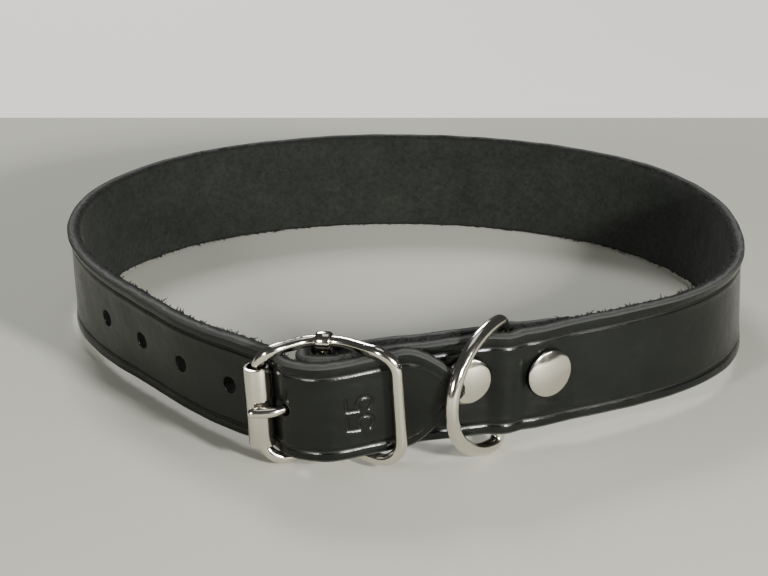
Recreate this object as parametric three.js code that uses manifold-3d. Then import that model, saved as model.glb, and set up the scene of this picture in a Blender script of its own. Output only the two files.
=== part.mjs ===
// Dog collar: one folded leather strap on a centre-bar roller buckle, with a D-ring held
// between two rivets. Millimetres, +Z up. The collar stands on edge, fastened in its fifth
// hole, with the buckle at the front (-Y).
import * as THREE from 'three';
import { mergeVertices } from 'three/addons/utils/BufferGeometryUtils.js';
import Module from 'manifold-3d';

const wasm = await Module();
wasm.setup();

// Leather
const STRAP_WIDTH = 25;
const LEATHER = 3.3;
const EDGE_ROUNDING = 0.6;
const NECK_GIRTH = 487; // inner line of the fastened loop
const FREE_END = 28; // neck line from the centre bar to the tip of the free end
const FREE_UNDER_ROLLER = 5.8; // height of the free end over the neck line there
const POINT_LENGTH = 12; // the pointed part of the free end
const FREE_LIFTS = 62; // where the free end leaves the neck line, ahead of the centre bar
const FREE_RISES = 38; // where it has risen a third of its height under the roller
const FREE_BOW = 2; // how far it stands off the fold over the centre bar
const FREE_SKEW = 2.4; // how far its tip is drawn up across the strap
const TAIL_LENGTH = 57; // neck line from the centre bar to the end of the folded-back tail
const FOLD_SLACK = 1.8; // how much further than the bar's own round the fold reaches
const FOLD_WIDTH = 22.8; // the strap is trimmed in round the bar, clear of its eyelets
const BUCKLED_WIDTH = 24.4; // the free end where it is drawn through the buckle
const BASE_CLOSES = 13.5; // where the strap lies on its tail again, from the centre bar
const SKIVE_LENGTH = 11; // the tail thins over this length to its end
const SKIVED_END = 1.2;
const BASE_SETTLES = 22; // from the tail's end to where the strap is back on the neck line
const FLARE_FADES = 40; // length over which the edges' curl fades before the buckle
const TOP_FLARE = 1.0; // how far the upper edge curls outward
const LOWER_FLARE = 0.3;

// Holes
const HOLE_COUNT = 5;
const HOLE_SPACING = 16.3;
const HOLE_DIAMETER = 4;
const USED_HOLE = -7.4; // along the buckle, from the centre bar

// Buckle
const WIRE = 2.9;
const ROLLER_BAR = -14.9; // along the buckle, from the centre bar
const FAR_BAR = 18;
const FRAME_CORNER = 5.5;
const SIDE_CLEARANCE = 0.3; // the free end's edge to the buckle's side rail
const ROLLER_LENGTH = 20;
const ROLLER_DIAMETER = 6.2;
const ROLLER_WALL = 0.7;
const EYELET_WALL = 0.7;
const EYELET_LENGTH = 3.6;
const RAIL_FLAT = 2.2; // the side rails are straight this far to each side of the centre bar
const PRONG_WIRE = 2.4;
const PRONG_REACH = 1.6; // how far the prong's tip passes the roller's axis
const SLOT_WIDTH = 3.6;

// D-ring, placed along the neck line from the centre bar
const RING_PLACE = 39.2;
const RING_WIRE = 3.3;
const RING_INNER_HEIGHT = 28;
const RING_DROP = 0.9; // how far the ring hangs below the middle of the strap
const RING_SINK = 0.6; // how much more its leg presses into the tail than into the strap
const RING_DEPTH = 20.5;
const RING_CORNER = 2.2;
const RING_LEAN = 54; // degrees from straight out, towards the buckle

// Rivets, placed along the neck line from the centre bar
const RIVET_PLACES = { rivet_front: 29.6, rivet_rear: 49.8 };
const RIVET_ACROSS = { rivet_front: 2.2, rivet_rear: 1.2 };
const RIVET_CAP = 11.7;
const RIVET_DOME = 1.5;
const RIVET_RIM = 0.7;
const RIVET_SHANK = 3.6;
const RIVET_BACK = 9;
const RIVET_BACK_THICKNESS = 0.9;

// Fits
const GAP = 0.3; // between pieces that lie on each other
const BAR_GAP = 1; // from the free end to the buckle's two end bars
const RUNNING_GAP = 0.3; // round the buckle's bars
const PUNCH_GAP = 0.3; // round the rivets' shanks
const FULL_CIRCLE = 2 * Math.PI;
const DEGREE = Math.PI / 180;

// The loop's inner line: reach from its middle in each direction (0 is +X, -90 is the front)
// as a share of the mean reach, how far the upper edge leans outward in degrees, and how far
// the strap is lifted there
const NECK_SHAPE = [
  { turn: -180, reach: 1.02, lean: 3, lift: 0 },
  { turn: -160, reach: 0.96, lean: 6, lift: 0 },
  { turn: -140, reach: 0.92, lean: 9, lift: -0.6 },
  { turn: -120, reach: 0.93, lean: 6, lift: -1.3 },
  { turn: -100, reach: 0.957, lean: 4, lift: -0.8 },
  { turn: -80, reach: 0.92, lean: 3, lift: 0.7 },
  { turn: -60, reach: 0.922, lean: 0, lift: 0.1 },
  { turn: -40, reach: 1.005, lean: -1, lift: -0.3 },
  { turn: -20, reach: 1.09, lean: -1, lift: -0.2 },
  { turn: 0, reach: 1.07, lean: 0, lift: 0 },
  { turn: 20, reach: 1.07, lean: 3, lift: 0 },
  { turn: 40, reach: 1.05, lean: 3, lift: 0 },
  { turn: 60, reach: 1.0, lean: 2, lift: 0 },
  { turn: 80, reach: 0.97, lean: 2, lift: 0 },
  { turn: 100, reach: 0.97, lean: 2, lift: 0 },
  { turn: 120, reach: 1.0, lean: 3, lift: 0 },
  { turn: 140, reach: 1.04, lean: 3, lift: 0 },
  { turn: 160, reach: 1.05, lean: 3, lift: 0 },
];
const BUCKLE_TURN = -102;

// Closed cubic spline through the rows of the neck shape
function splineWeights(f) {
  const g = 1 - f;
  return {
    value: [g ** 3 / 6, (3 * f ** 3 - 6 * f ** 2 + 4) / 6, (3 * g ** 3 - 6 * g ** 2 + 4) / 6, f ** 3 / 6],
    slope: [-(g ** 2) / 2, (3 * f ** 2 - 4 * f) / 2, -(3 * g ** 2 - 4 * g) / 2, f ** 2 / 2],
  };
}

function makeNeckLine(rows, girth) {
  const count = rows.length;
  const through = rows.map(({ turn, reach, lean, lift }) => [
    reach * Math.cos(turn * DEGREE), reach * Math.sin(turn * DEGREE), lean * DEGREE, lift,
  ]);
  const controls = through.map((row, i) => row.map((value, axis) =>
    (8 * value - through[(i + count - 1) % count][axis] - through[(i + 1) % count][axis]) / 6));
  const blend = (t, kind) => {
    const first = Math.floor(t);
    const weights = splineWeights(t - first)[kind];
    return [0, 1, 2, 3].map((axis) => weights.reduce((sum, weight, k) =>
      sum + weight * controls[(first + k - 1 + 2 * count) % count][axis], 0));
  };
  const steps = 720;
  const lengths = [0];
  for (let i = 1; i <= steps; i += 1) {
    const [x0, y0] = blend(((i - 1) * count) / steps, 'value');
    const [x1, y1] = blend((i * count) / steps, 'value');
    lengths.push(lengths[i - 1] + Math.hypot(x1 - x0, y1 - y0));
  }
  const scale = girth / lengths[steps];
  const start = ((BUCKLE_TURN - rows[0].turn) / 360) * steps;
  const lengthAt = (index) => {
    const low = Math.floor(index);
    return lengths[low] + (index - low) * (lengths[low + 1] - lengths[low]);
  };
  const startLength = lengthAt(start);
  return (along) => {
    const total = lengths[steps];
    const target = ((((startLength + along / scale) % total) + total) % total);
    let low = 0;
    let high = steps;
    while (high - low > 1) {
      const middle = (low + high) >> 1;
      if (lengths[middle] <= target) low = middle;
      else high = middle;
    }
    const index = low + (target - lengths[low]) / (lengths[high] - lengths[low]);
    const t = (index * count) / steps;
    const [x, y, lean, lift] = blend(t, 'value');
    const [dx, dy, , dLift] = blend(t, 'slope');
    const forward = new THREE.Vector3(dx * scale, dy * scale, dLift).normalize();
    const flatOut = new THREE.Vector3(dy, -dx, 0).normalize();
    const upright = new THREE.Vector3().crossVectors(flatOut, forward);
    const out = flatOut.clone().multiplyScalar(Math.cos(lean)).addScaledVector(upright, -Math.sin(lean));
    const up = flatOut.clone().multiplyScalar(Math.sin(lean)).addScaledVector(upright, Math.cos(lean));
    const origin = new THREE.Vector3(x * scale, y * scale, STRAP_WIDTH / 2 + lift);
    return { origin, forward, out, up };
  };
}

const neckLine = makeNeckLine(NECK_SHAPE, NECK_GIRTH);

// A point by its place along the neck line, its height over the neck line and its place
// across the strap, with a further step along the strap in the same frame
function place(along, height, across, step = 0) {
  const { origin, forward, out, up } = neckLine(along);
  return origin.addScaledVector(out, height).addScaledVector(up, across).addScaledVector(forward, step);
}

// The buckle is rigid and straight, so it has its own frame at the centre bar
const buckle = neckLine(0);

function buckleCoordinates(point) {
  const offset = point.clone().sub(buckle.origin);
  return { along: offset.dot(buckle.forward), out: offset.dot(buckle.out) };
}

// Matrix of the buckle's frame (x along it, y across it, z out) moved to a place in it
function buckleFrame(along, outBy) {
  const { origin, forward, out, up } = neckLine(0);
  origin.addScaledVector(forward, along).addScaledVector(out, outBy);
  return new THREE.Matrix4().makeBasis(forward, up, out).setPosition(origin);
}

// Neck line place of the point that is at a height over the neck and at a true distance
// along the buckle
function neckPlaceOf(along, height) {
  let guess = along;
  for (let i = 0; i < 12; i += 1) {
    guess += along - buckleCoordinates(place(guess, height, 0)).along;
  }
  return guess;
}

// Smooth curve through rows of { at, height }, flat before the first and after the last,
// that never overshoots its rows
function smoothProfile(rows) {
  const last = rows.length - 1;
  const secant = (i) => (rows[i + 1].height - rows[i].height) / (rows[i + 1].at - rows[i].at);
  const slope = (i) => {
    if (i === 0 || i === last) return 0;
    const [before, after] = [secant(i - 1), secant(i)];
    return before * after <= 0 ? 0 : (2 * before * after) / (before + after);
  };
  return (at) => {
    if (at <= rows[0].at) return rows[0].height;
    if (at >= rows[last].at) return rows[last].height;
    const i = rows.findIndex((row) => row.at > at) - 1;
    const span = rows[i + 1].at - rows[i].at;
    const t = (at - rows[i].at) / span;
    const [a, b] = [rows[i].height, rows[i + 1].height];
    return a + (b - a) * t * t * (3 - 2 * t)
      + span * (slope(i) * t * (1 - t) ** 2 - slope(i + 1) * t ** 2 * (1 - t));
  };
}

// Heights of the stack over the neck line
const BAR_HEIGHT = LEATHER + RUNNING_GAP + WIRE / 2;
const BASE_AT_BAR = BAR_HEIGHT + WIRE / 2 + RUNNING_GAP;
const BASE_ON_TAIL = LEATHER + GAP;
const FREE_AT_BAR = BASE_AT_BAR + LEATHER + GAP;
const FREE_ON_BASE = BASE_ON_TAIL + LEATHER + GAP;
const ROLLER_HEIGHT = FREE_UNDER_ROLLER + LEATHER + BAR_GAP + ROLLER_DIAMETER / 2;
const ROLLER_PLACE = neckPlaceOf(ROLLER_BAR, ROLLER_HEIGHT);
const FAR_BAR_HEIGHT = FREE_ON_BASE + LEATHER + BAR_GAP + WIRE / 2;
const FAR_BAR_PLACE = neckPlaceOf(FAR_BAR, FAR_BAR_HEIGHT);
const FOLD_INNER = WIRE / 2 + RUNNING_GAP;
const FOLD_OUTER = FOLD_INNER + LEATHER;

// The leather parts round the ring's straight side, less in the strap than in its tail
const RING_HEIGHT = LEATHER + GAP / 2 - RING_SINK;
const RING_BULGE = RING_WIRE / 2 + GAP;
const BULGE_REACH = 1.5 * RING_WIRE;
function ringBulge(along) {
  const offset = along - RING_PLACE;
  if (Math.abs(offset) >= BULGE_REACH) return 0;
  return (1 + Math.cos((Math.PI * offset) / BULGE_REACH)) / 2;
}

const closing = smoothProfile([
  { at: 0, height: BASE_AT_BAR },
  { at: FOLD_OUTER, height: BASE_AT_BAR - 0.42 * (BASE_AT_BAR - BASE_ON_TAIL) },
  { at: BASE_CLOSES, height: BASE_ON_TAIL },
]);
const leavingTail = smoothProfile([
  { at: TAIL_LENGTH - SKIVE_LENGTH, height: BASE_ON_TAIL },
  { at: TAIL_LENGTH + 0.5, height: SKIVED_END + GAP },
  { at: TAIL_LENGTH + BASE_SETTLES, height: 0 },
]);
const baseHeight = (along) => closing(along) + leavingTail(along) - BASE_ON_TAIL
  + (RING_BULGE - RING_SINK) * ringBulge(along);
const tailHeight = (along) => -(RING_BULGE + RING_SINK) * ringBulge(along);
const tailThickness = (along) => Math.min(LEATHER, leavingTail(along) - GAP);
const baseTop = (along) => baseHeight(along) + LEATHER;

const freeBeforeBar = smoothProfile([
  { at: -FREE_LIFTS, height: 0 },
  { at: -FREE_RISES, height: 0.35 * FREE_UNDER_ROLLER },
  { at: ROLLER_PLACE, height: FREE_UNDER_ROLLER },
  { at: -FOLD_OUTER, height: 0.92 * (FREE_AT_BAR + FREE_BOW) },
  { at: 0, height: FREE_AT_BAR + FREE_BOW },
]);
const bowAfterBar = smoothProfile([{ at: 0, height: FREE_BOW }, { at: FAR_BAR_PLACE - WIRE, height: 0 }]);
const liftOverCap = smoothProfile([
  { at: FAR_BAR_PLACE, height: 0 },
  { at: RIVET_PLACES.rivet_front - 0.5 * RIVET_CAP, height: GAP + RIVET_RIM + GAP },
  { at: RIVET_PLACES.rivet_front, height: GAP + RIVET_DOME + GAP },
]);
const freeEndHeight = (along) => (along < 0
  ? freeBeforeBar(along)
  : closing(along) + LEATHER + GAP + bowAfterBar(along) + liftOverCap(along));
const skew = smoothProfile([{ at: 0.65 * FAR_BAR_PLACE, height: 0 }, { at: FREE_END, height: FREE_SKEW }]);

// Meshes and solids
const MATERIALS = {
  leather: { color: 0x2b2d2c, roughness: 0.5, metalness: 0 },
  nickel: { color: 0xc9cac6, roughness: 0.2, metalness: 1 },
};

function toMesh(name, geometry, material) {
  const bare = new THREE.BufferGeometry();
  bare.setAttribute('position', geometry.getAttribute('position').clone());
  if (geometry.index) bare.setIndex(geometry.index.clone());
  const merged = mergeVertices(bare, 1e-4);
  merged.computeVertexNormals();
  const mesh = new THREE.Mesh(merged, new THREE.MeshStandardMaterial(MATERIALS[material]));
  mesh.name = name;
  return mesh;
}

function toSolid(geometry) {
  const bare = new THREE.BufferGeometry();
  bare.setAttribute('position', geometry.getAttribute('position').clone());
  if (geometry.index) bare.setIndex(geometry.index.clone());
  const merged = mergeVertices(bare, 1e-4);
  return new wasm.Manifold(new wasm.Mesh({
    numProp: 3,
    vertProperties: new Float32Array(merged.getAttribute('position').array),
    triVerts: new Uint32Array(merged.index.array),
  }));
}

function fromSolid(solid) {
  const { vertProperties, triVerts } = solid.getMesh();
  const geometry = new THREE.BufferGeometry();
  geometry.setAttribute('position', new THREE.BufferAttribute(new Float32Array(vertProperties), 3));
  geometry.setIndex(new THREE.BufferAttribute(new Uint32Array(triVerts), 1));
  return geometry;
}

// Closed body lofted through sections that all have the same number of points
function loft(sections) {
  const size = sections[0].length;
  const positions = sections.flat().flatMap((point) => [point.x, point.y, point.z]);
  const indices = [];
  for (let i = 0; i + 1 < sections.length; i += 1) {
    for (let j = 0; j < size; j += 1) {
      const [a, b] = [i * size + j, i * size + ((j + 1) % size)];
      indices.push(a, b + size, b, a, a + size, b + size);
    }
  }
  const addCap = (section, flip) => {
    const middle = new THREE.Vector3();
    sections[section].forEach((point) => middle.addScaledVector(point, 1 / size));
    const centre = positions.length / 3;
    positions.push(middle.x, middle.y, middle.z);
    for (let j = 0; j < size; j += 1) {
      const [a, b] = [section * size + j, section * size + ((j + 1) % size)];
      indices.push(...(flip ? [centre, a, b] : [centre, b, a]));
    }
  };
  addCap(0, true);
  addCap(sections.length - 1, false);
  const geometry = new THREE.BufferGeometry();
  geometry.setAttribute('position', new THREE.Float32BufferAttribute(positions, 3));
  geometry.setIndex(indices);
  return geometry;
}

// Section of the leather: across the strap, and through its thickness with the grain side up
function leatherSection(thickness, flare) {
  const half = STRAP_WIDTH / 2;
  const deep = thickness / 2;
  const cut = Math.min(EDGE_ROUNDING, 0.4 * thickness);
  const bend = 0.3 * STRAP_WIDTH;
  const corners = [
    [half - cut, -deep], [bend, -deep], [-bend, -deep], [cut - half, -deep],
    [-half, cut - deep], [-half, deep - cut],
    [cut - half, deep], [-bend, deep], [bend, deep], [half - cut, deep],
    [half, deep - cut], [half, cut - deep],
  ];
  return corners.map(([across, through]) => {
    const curl = Math.max(0, Math.abs(across) - bend) / (half - bend);
    return { across, through: through + flare * (across > 0 ? TOP_FLARE : LOWER_FLARE) * curl ** 2 };
  });
}

// Stations of the strap, from the end of the tail round the centre bar and the neck to the
// tip: a frame on the neck line, a point in it and the direction of the grain side
function strapStations() {
  const stations = [];
  const addLayer = (from, to, step, height, side, options) => {
    const count = Math.round(Math.abs(to - from) / step);
    for (let i = 0; i <= count; i += 1) {
      const along = from + ((to - from) * i) / count;
      const slope = (height(along + 0.2) - height(along - 0.2)) / 0.4;
      const size = Math.hypot(1, slope);
      stations.push({
        along, step: 0, height: height(along), grain: [(-side * slope) / size, side / size],
        thickness: LEATHER, flare: 0, width: 1, shift: 0, ...options(along),
      });
    }
  };
  const middleOf = (height) => (along) => height(along) + LEATHER / 2;
  const tailMiddle = (along) => tailHeight(along) + tailThickness(along) / 2;
  const trim = smoothProfile([{ at: 0, height: FOLD_WIDTH / STRAP_WIDTH }, { at: BASE_CLOSES, height: 1 }]);
  addLayer(TAIL_LENGTH, 2, 2.6, tailMiddle, -1, (along) => ({
    thickness: tailThickness(along), width: trim(along),
  }));

  const foldSteps = 12;
  const foldMiddle = FOLD_INNER + LEATHER / 2;
  for (let i = 0; i <= foldSteps; i += 1) {
    const turn = Math.PI * (i / foldSteps) - Math.PI / 2;
    const grain = [-Math.cos(turn), Math.sin(turn)];
    stations.push({
      along: 0, step: foldMiddle * grain[0] - FOLD_SLACK, height: BAR_HEIGHT + foldMiddle * grain[1], grain,
      thickness: LEATHER, flare: 0, width: trim(0), shift: 0,
    });
  }

  const loopStart = TAIL_LENGTH + FLARE_FADES;
  const loopEnd = NECK_GIRTH - FREE_LIFTS - 0.7 * FLARE_FADES;
  const flareIn = smoothProfile([{ at: TAIL_LENGTH, height: 0 }, { at: loopStart, height: 1 }]);
  const flareOut = smoothProfile([{ at: loopEnd, height: 1 }, { at: NECK_GIRTH - FREE_RISES, height: 0 }]);
  const baseShape = (along) => ({ flare: flareIn(along), width: trim(along) });
  addLayer(2, loopStart, 2.5, middleOf(baseHeight), 1, baseShape);
  addLayer(loopStart + 5, loopEnd - 5, 6.5, middleOf(() => 0), 1, () => ({ flare: 1 }));
  const lastPart = (along) => freeEndHeight(along - NECK_GIRTH);
  const shoulder = NECK_GIRTH + FREE_END - POINT_LENGTH;
  const drawn = smoothProfile([
    { at: NECK_GIRTH + ROLLER_PLACE - 3 * WIRE, height: 1 },
    { at: NECK_GIRTH + ROLLER_PLACE - WIRE / 2, height: BUCKLED_WIDTH / STRAP_WIDTH },
    { at: shoulder, height: BUCKLED_WIDTH / STRAP_WIDTH },
  ]);
  addLayer(loopEnd, shoulder, 2.7, middleOf(lastPart), 1, (along) => ({
    flare: flareOut(along), width: drawn(along), shift: skew(along - NECK_GIRTH),
  }));
  const pointWidth = (along) => ({
    width: drawn(along) * (1 - 0.92 * ((along - shoulder) / POINT_LENGTH) ** 1.6),
    shift: skew(along - NECK_GIRTH),
  });
  addLayer(shoulder + 1, NECK_GIRTH + FREE_END, 1.25, middleOf(lastPart), 1, pointWidth);
  return stations;
}

function leatherPoint(station, across, through) {
  const height = station.height + through * station.grain[1];
  const from = across * station.width + station.shift;
  return place(station.along, height, from, station.step + through * station.grain[0]);
}

// A straight cutter through the leather at a place on the neck line
function punch(along, diameter, low, high, across = 0) {
  const { origin, out, forward, up } = neckLine(along);
  const geometry = new THREE.CylinderGeometry(diameter / 2, diameter / 2, high - low, 20);
  const middle = origin.addScaledVector(out, (low + high) / 2).addScaledVector(up, across);
  geometry.applyMatrix4(new THREE.Matrix4().makeBasis(up, out, forward).setPosition(middle));
  return toSolid(geometry);
}

// Wire bent along an open or closed path
function wire(path, steps, diameter, sides, closed) {
  if (closed) return new THREE.TubeGeometry(path, steps, diameter / 2, sides, true);
  const shape = new THREE.Shape().absarc(0, 0, diameter / 2, 0, FULL_CIRCLE, false);
  return new THREE.ExtrudeGeometry(shape, { extrudePath: path, steps, curveSegments: sides / 2, bevelEnabled: false });
}

// How far out the two end bars lie in the buckle's frame
const ROLLER_OUT = buckleCoordinates(place(ROLLER_PLACE, ROLLER_HEIGHT, 0)).out;
const FAR_BAR_OUT = buckleCoordinates(place(FAR_BAR_PLACE, FAR_BAR_HEIGHT, 0)).out;

// Path of the prong in the buckle's frame: round the centre bar, up through the used hole
// and over the roller
function prongPath() {
  const eye = WIRE / 2 + RUNNING_GAP + PRONG_WIRE / 2;
  const crest = ROLLER_OUT + ROLLER_DIAMETER / 2 + GAP + PRONG_WIRE / 2;
  const points = [];
  const eyeSteps = 10;
  for (let i = 0; i < eyeSteps; i += 1) {
    const turn = (-200 + (290 * i) / eyeSteps) * DEGREE;
    points.push([eye * Math.cos(turn), BAR_HEIGHT + eye * Math.sin(turn)]);
  }
  const eyeTop = BAR_HEIGHT + eye;
  points.push(
    [0, eyeTop],
    [0.25 * ROLLER_BAR, eyeTop + 0.12 * (crest - eyeTop)],
    [0.5 * ROLLER_BAR, eyeTop + 0.47 * (crest - eyeTop)],
    [0.72 * ROLLER_BAR, eyeTop + 0.86 * (crest - eyeTop)],
    [ROLLER_BAR, crest],
    [ROLLER_BAR - 0.5 * PRONG_REACH, crest],
    [ROLLER_BAR - PRONG_REACH, crest - 0.1 * PRONG_WIRE],
  );
  const matrix = buckleFrame(0, 0);
  return points.map(([along, out]) => new THREE.Vector3(along, 0, out).applyMatrix4(matrix));
}

function makeStrap() {
  const sections = strapStations().map((station) =>
    leatherSection(station.thickness, station.flare).map(({ across, through }) =>
      leatherPoint(station, across, through)));
  let strap = toSolid(loft(sections));

  const usedPlace = neckPlaceOf(USED_HOLE, freeEndHeight(USED_HOLE));
  for (let i = 0; i < HOLE_COUNT; i += 1) {
    const along = usedPlace - i * HOLE_SPACING;
    const middle = freeEndHeight(along) + LEATHER / 2;
    strap = strap.subtract(punch(along, HOLE_DIAMETER, middle - LEATHER, middle + 0.8 * LEATHER));
  }
  const prongRoom = new THREE.CatmullRomCurve3(prongPath().slice(11), false, 'centripetal');
  strap = strap.subtract(toSolid(wire(prongRoom, 24, PRONG_WIRE + 2 * GAP, 16, false)));

  Object.entries(RIVET_PLACES).forEach(([name, along]) => {
    const bore = RIVET_SHANK + 2 * PUNCH_GAP;
    strap = strap.subtract(punch(along, bore, -1, baseTop(along) + 1, RIVET_ACROSS[name]));
  });

  // Slot in the fold for the prong's eye
  const slotRound = new THREE.CylinderGeometry(FOLD_OUTER + 0.15, FOLD_OUTER + 0.15, SLOT_WIDTH, 40);
  slotRound.applyMatrix4(buckleFrame(-FOLD_SLACK, BAR_HEIGHT));
  const slotLength = FOLD_SLACK + WIRE / 2 + PRONG_WIRE + 3 * GAP;
  const slotHeight = 2 * FOLD_OUTER + 0.2;
  const slotBox = new THREE.BoxGeometry(slotLength, SLOT_WIDTH, slotHeight);
  slotBox.translate(slotLength / 2 - FOLD_SLACK, 0, 0).applyMatrix4(buckleFrame(0, BAR_HEIGHT));
  strap = strap.subtract(toSolid(slotRound)).subtract(toSolid(slotBox));
  return toMesh('strap', fromSolid(strap), 'leather');
}

// Rounded outline across the strap (x along the buckle, y across it)
function roundedOutline(left, right, half, corner) {
  const outline = new THREE.Path();
  outline.moveTo(0, -half);
  outline.lineTo(right - corner, -half);
  outline.absarc(right - corner, corner - half, corner, -Math.PI / 2, 0, false);
  outline.lineTo(right, half - corner);
  outline.absarc(right - corner, half - corner, corner, 0, Math.PI / 2, false);
  outline.lineTo(left + corner, half);
  outline.absarc(left + corner, half - corner, corner, Math.PI / 2, Math.PI, false);
  outline.lineTo(left, corner - half);
  outline.absarc(left + corner, corner - half, corner, Math.PI, 1.5 * Math.PI, false);
  outline.closePath();
  return outline;
}

const RAIL_ACROSS = BUCKLED_WIDTH / 2 + SIDE_CLEARANCE + WIRE / 2;

// The side rails bow in to the centre bar between the two end bars
function railOut(along) {
  const [end, out] = along < 0 ? [ROLLER_BAR, ROLLER_OUT] : [FAR_BAR, FAR_BAR_OUT];
  const reach = Math.abs(end) - 0.3 * FRAME_CORNER - RAIL_FLAT;
  const share = Math.min(1, Math.max(0, Math.abs(along) - RAIL_FLAT) / reach);
  return BAR_HEIGHT + ((out - BAR_HEIGHT) * (1 - Math.cos(Math.PI * share))) / 2;
}

class FramePath extends THREE.Curve {
  constructor() {
    super();
    this.outline = roundedOutline(ROLLER_BAR, FAR_BAR, RAIL_ACROSS, FRAME_CORNER);
    this.matrix = buckleFrame(0, 0);
  }

  getPoint(t) {
    const { x, y } = this.outline.getPointAt(t % 1);
    return new THREE.Vector3(x, y, railOut(x)).applyMatrix4(this.matrix);
  }
}

function makeFrame() {
  return toMesh('buckle_frame', wire(new FramePath(), 76, WIRE, 10, true), 'nickel');
}

function latheRing(inner, outer, length, sides) {
  const half = length / 2;
  const profile = [[inner, -half], [outer, -half], [outer, half], [inner, half], [inner, -half]];
  return new THREE.LatheGeometry(profile.map(([r, z]) => new THREE.Vector2(r, z)), sides);
}

// Centre bar with an eyelet round each side rail
function makeCentreBar() {
  const inner = WIRE / 2 + RUNNING_GAP;
  const outer = inner + EYELET_WALL;
  const reach = RAIL_ACROSS - (inner + outer) / 2;
  const bar = new THREE.CylinderGeometry(WIRE / 2, WIRE / 2, 2 * reach, 16);
  let solid = toSolid(bar);
  [-1, 1].forEach((side) => {
    const eyelet = latheRing(inner, outer, EYELET_LENGTH, 16);
    eyelet.rotateZ(Math.PI / 2).translate(0, side * RAIL_ACROSS, 0);
    solid = solid.add(toSolid(eyelet));
  });
  const geometry = fromSolid(solid).applyMatrix4(buckleFrame(0, BAR_HEIGHT));
  return toMesh('centre_bar', geometry, 'nickel');
}

function makeRoller() {
  const outer = ROLLER_DIAMETER / 2;
  const ring = latheRing(outer - ROLLER_WALL, outer, ROLLER_LENGTH, 20);
  ring.applyMatrix4(buckleFrame(ROLLER_BAR, ROLLER_OUT));
  return toMesh('roller', ring, 'nickel');
}

function makeProng() {
  const path = new THREE.CatmullRomCurve3(prongPath(), false, 'centripetal');
  return toMesh('prong', wire(path, 42, PRONG_WIRE, 10, false), 'nickel');
}

// The D-ring's path in its own plane: x out from its straight side, y across the strap
function ringOutline() {
  const half = (RING_INNER_HEIGHT + RING_WIRE) / 2;
  const outline = new THREE.Path();
  outline.moveTo(0, 0);
  outline.lineTo(0, RING_CORNER - half);
  outline.absarc(RING_CORNER, RING_CORNER - half, RING_CORNER, Math.PI, 1.5 * Math.PI, false);
  const bow = RING_DEPTH - RING_CORNER;
  outline.absellipse(RING_CORNER, 0, bow, half, -Math.PI / 2, Math.PI / 2, false, 0);
  outline.absarc(RING_CORNER, half - RING_CORNER, RING_CORNER, Math.PI / 2, Math.PI, false);
  outline.closePath();
  return outline;
}

class RingPath extends THREE.Curve {
  constructor() {
    super();
    this.outline = ringOutline();
  }

  getPoint(t) {
    const { x, y } = this.outline.getPointAt(t % 1);
    return new THREE.Vector3(x, y, 0);
  }
}

function makeRing() {
  const { forward, out, up } = neckLine(RING_PLACE);
  const lean = RING_LEAN * DEGREE;
  const outward = out.clone().multiplyScalar(Math.cos(lean)).addScaledVector(forward, -Math.sin(lean));
  const side = new THREE.Vector3().crossVectors(outward, up);
  const pivot = place(RING_PLACE, RING_HEIGHT, -RING_DROP);
  const geometry = wire(new RingPath(), 64, RING_WIRE, 10, true);
  geometry.applyMatrix4(new THREE.Matrix4().makeBasis(outward, up, side).setPosition(pivot));
  return toMesh('d_ring', geometry, 'nickel');
}

// Rivet from the flat back on the neck side to the domed cap, which leans with the leather
function makeRivet(name) {
  const [cap, back, shank] = [RIVET_CAP / 2, RIVET_BACK / 2, RIVET_SHANK / 2];
  const backFace = -1.5 * GAP;
  const place = RIVET_PLACES[name];
  const slope = (baseTop(place + cap) - baseTop(place - cap)) / RIVET_CAP;
  const seat = GAP + Math.max(...[-1, -0.5, 0, 0.5, 1].map((share) =>
    baseTop(place + share * cap) - slope * share * cap));
  const profile = [
    [0, backFace - RIVET_BACK_THICKNESS],
    [back - 0.3, backFace - RIVET_BACK_THICKNESS],
    [back, backFace - 0.6 * RIVET_BACK_THICKNESS],
    [back, backFace],
    [shank, backFace],
    [shank, seat],
    [cap, seat],
    [cap, seat + 0.6 * RIVET_RIM],
    [0.93 * cap, seat + 0.8 * RIVET_RIM + 0.1 * RIVET_DOME],
    [0.65 * cap, seat + 0.78 * RIVET_DOME],
    [0.33 * cap, seat + 0.95 * RIVET_DOME],
    [0, seat + RIVET_DOME],
  ];
  const geometry = new THREE.LatheGeometry(profile.map(([r, z]) => new THREE.Vector2(r, z)), 24);
  const points = geometry.getAttribute('position');
  for (let i = 0; i < points.count; i += 1) {
    const risen = Math.min(1, Math.max(0, (points.getY(i) - backFace) / (seat - backFace)));
    points.setY(i, points.getY(i) + slope * points.getZ(i) * risen);
  }
  const { origin, forward, out, up } = neckLine(place);
  origin.addScaledVector(up, RIVET_ACROSS[name]);
  geometry.applyMatrix4(new THREE.Matrix4().makeBasis(up, out, forward).setPosition(origin));
  return toMesh(name, geometry, 'nickel');
}

// Height of a group's lowest point on one side of its middle
function lowestPoint(group, side) {
  group.updateMatrixWorld(true);
  let lowest = Infinity;
  group.traverse((node) => {
    if (!node.isMesh) return;
    const places = node.geometry.getAttribute('position');
    for (let i = 0; i < places.count; i += 1) {
      const point = new THREE.Vector3().fromBufferAttribute(places, i).applyMatrix4(node.matrixWorld);
      if (side * point.y > 0) lowest = Math.min(lowest, point.z);
    }
  });
  return lowest;
}

// The collar stands on its back lower edge and, at the front, on the D-ring, which reaches
// below the strap and so raises it
function standUp(collar) {
  const size = new THREE.Box3().setFromObject(collar, true).getSize(new THREE.Vector3());
  for (let i = 0; i < 6; i += 1) {
    collar.rotation.x += (lowestPoint(collar, -1) - lowestPoint(collar, 1)) / size.y;
  }
  collar.updateMatrixWorld(true);
  const turned = new THREE.Box3().setFromObject(collar, true);
  const middle = turned.getCenter(new THREE.Vector3());
  collar.position.set(-middle.x, -middle.y, -turned.min.z);
}

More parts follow.
